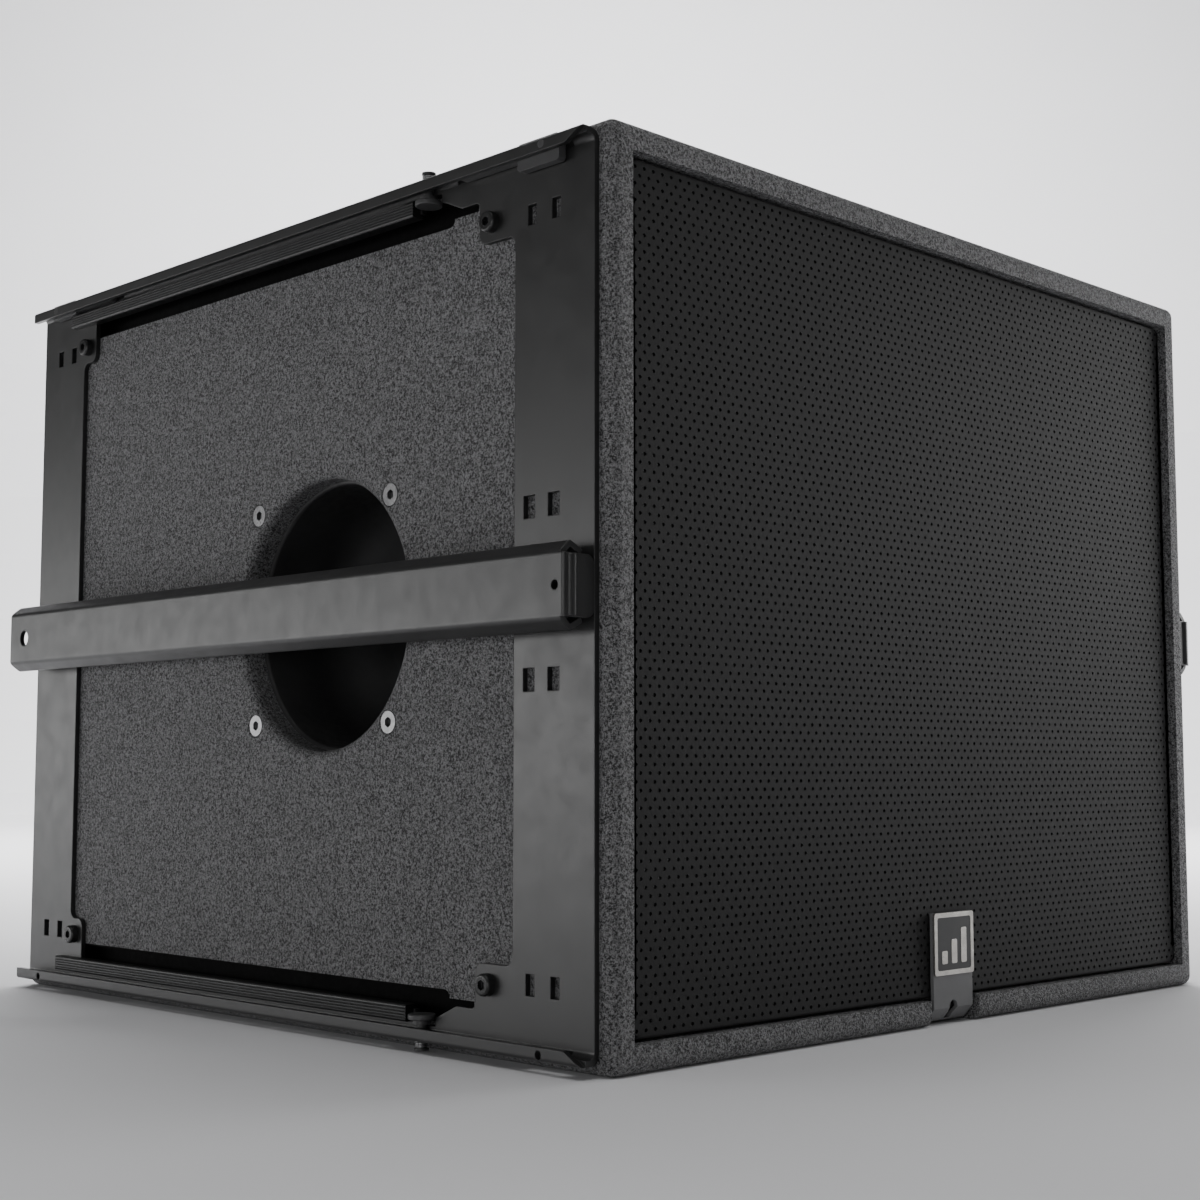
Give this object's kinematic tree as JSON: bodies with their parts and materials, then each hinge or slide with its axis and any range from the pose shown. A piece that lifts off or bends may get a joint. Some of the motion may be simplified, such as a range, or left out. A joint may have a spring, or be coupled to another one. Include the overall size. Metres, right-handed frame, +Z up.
{
  "type": "line array low-frequency cabinet",
  "caption": "Compact black flown loudspeaker cabinet of a line array: perforated front grille, steel side frames with rails, handle bars and stowed link arms.",
  "frame": {"origin": "centre of the cabinet's bottom face", "axes": "+X to the right seen from the front, -Y towards the listener through the grille, +Z up"},
  "size_m": [0.575, 0.532, 0.442],
  "materials": {
    "cabinet_paint": "thick textured black paint",
    "clip_paint": "satin",
    "badge_enamel": "satin",
    "liner_plastic": "matte",
    "inner_wood": "matte",
    "lining_fabric": "matte",
    "grille_steel": "satin",
    "foam_fabric": "matte",
    "black_steel": "satin",
    "frame_paint": "satin",
    "badge_nickel": "satin",
    "screw_steel": "satin",
    "black_screw": "satin",
    "bright_screw": "satin",
    "basket_casting": "satin",
    "rubber_black": "matte",
    "cone_paper": "matte",
    "coil_copper": "satin",
    "spider_fabric": "matte",
    "motor_steel": "satin",
    "magnet_ferrite": "matte",
    "inner_plastic": "matte",
    "socket_plastic": "matte",
    "strip_plastic": "matte",
    "cup_plastic": "matte",
    "spring_steel": "satin"
  },
  "bodies": {
    "cabinet": {"top_panel": "cabinet_paint", "bottom_panel": "cabinet_paint", "rear_panel": "cabinet_paint", "front_baffle": "inner_wood", "internal_brace": "inner_wood", "grille_battens": "inner_wood", "damping_lining": "lining_fabric", "grille": "grille_steel", "grille_foam": "foam_fabric", "grille_clip": "clip_paint", "badge_plate": "badge_nickel", "badge_inlay": "badge_enamel", "clip_screw": "screw_steel", "driver_basket": "basket_casting", "driver_gasket": "rubber_black", "driver_screws": "screw_steel", "surround": "rubber_black", "spider": "spider_fabric", "top_plate": "motor_steel", "magnet": "magnet_ferrite", "pole_plate": "motor_steel", "driver_terminals": "inner_plastic", "connector_plate": "black_steel", "connector_screws": "screw_steel", "speaker_socket_in": "socket_plastic", "speaker_socket_link": "socket_plastic", "driver_cable": "rubber_black", "frame_screws": "black_screw", "cup_screws": "bright_screw", "grip_strips": "strip_plastic", "bar_brackets": "black_steel", "link_pins": "black_steel", "grip_liners": "liner_plastic", "side_panel_right": "cabinet_paint", "port_duct_right": "inner_wood", "side_frame_right": "frame_paint", "handle_bar_right": "frame_paint", "handle_cup_right": "cup_plastic", "lock_spring_top_right": "spring_steel", "lock_spring_bottom_right": "spring_steel", "side_panel_left": "cabinet_paint", "port_duct_left": "inner_wood", "side_frame_left": "frame_paint", "handle_bar_left": "frame_paint", "handle_cup_left": "cup_plastic", "lock_spring_top_left": "spring_steel", "lock_spring_bottom_left": "spring_steel"},
    "cone_assembly": {"cone": "cone_paper", "dust_cap": "cone_paper", "voice_coil": "coil_copper"},
    "front_link_right": {"link_arm_front_right": "black_steel"},
    "rear_link_right": {"link_arm_rear_right": "black_steel"},
    "top_plunger_right": {"lock_plunger_top_right": "black_steel"},
    "bottom_plunger_right": {"lock_plunger_bottom_right": "black_steel"},
    "front_link_left": {"link_arm_front_left": "black_steel"},
    "rear_link_left": {"link_arm_rear_left": "black_steel"},
    "top_plunger_left": {"lock_plunger_top_left": "black_steel"},
    "bottom_plunger_left": {"lock_plunger_bottom_left": "black_steel"}
  },
  "joints": [
    {"name": "cone_travel", "type": "slide", "parent": "cabinet", "child": "cone_assembly", "axis": [0, 1, 0], "range_m": [-0.008, 0.008], "stiffness_N_per_m": 3000, "deforming": ["surround", "spider"]},
    {"name": "front_link_turn_right", "type": "hinge", "parent": "cabinet", "child": "front_link_right", "pos_m": [0.27125, -0.23, 0.4332], "axis": [1, 0, 0], "range_deg": [0, 90]},
    {"name": "rear_link_turn_right", "type": "hinge", "parent": "cabinet", "child": "rear_link_right", "pos_m": [0.27125, 0.23, 0.4332], "axis": [-1, 0, 0], "range_deg": [0, 90]},
    {"name": "top_plunger_pull_right", "type": "slide", "parent": "cabinet", "child": "top_plunger_right", "axis": [0, 0, -1], "range_m": [0, 0.002], "stiffness_N_per_m": 250, "springref_m": -0.001, "deforming": ["lock_spring_top_right"]},
    {"name": "bottom_plunger_pull_right", "type": "slide", "parent": "cabinet", "child": "bottom_plunger_right", "axis": [0, 0, 1], "range_m": [0, 0.002], "stiffness_N_per_m": 250, "springref_m": -0.001, "deforming": ["lock_spring_bottom_right"]},
    {"name": "front_link_turn_left", "type": "hinge", "parent": "cabinet", "child": "front_link_left", "pos_m": [-0.27125, -0.23, 0.4332], "axis": [1, 0, 0], "range_deg": [0, 90]},
    {"name": "rear_link_turn_left", "type": "hinge", "parent": "cabinet", "child": "rear_link_left", "pos_m": [-0.27125, 0.23, 0.4332], "axis": [-1, 0, 0], "range_deg": [0, 90]},
    {"name": "top_plunger_pull_left", "type": "slide", "parent": "cabinet", "child": "top_plunger_left", "axis": [0, 0, -1], "range_m": [0, 0.002], "stiffness_N_per_m": 250, "springref_m": -0.001, "deforming": ["lock_spring_top_left"]},
    {"name": "bottom_plunger_pull_left", "type": "slide", "parent": "cabinet", "child": "bottom_plunger_left", "axis": [0, 0, 1], "range_m": [0, 0.002], "stiffness_N_per_m": 250, "springref_m": -0.001, "deforming": ["lock_spring_bottom_left"]}
  ]
}
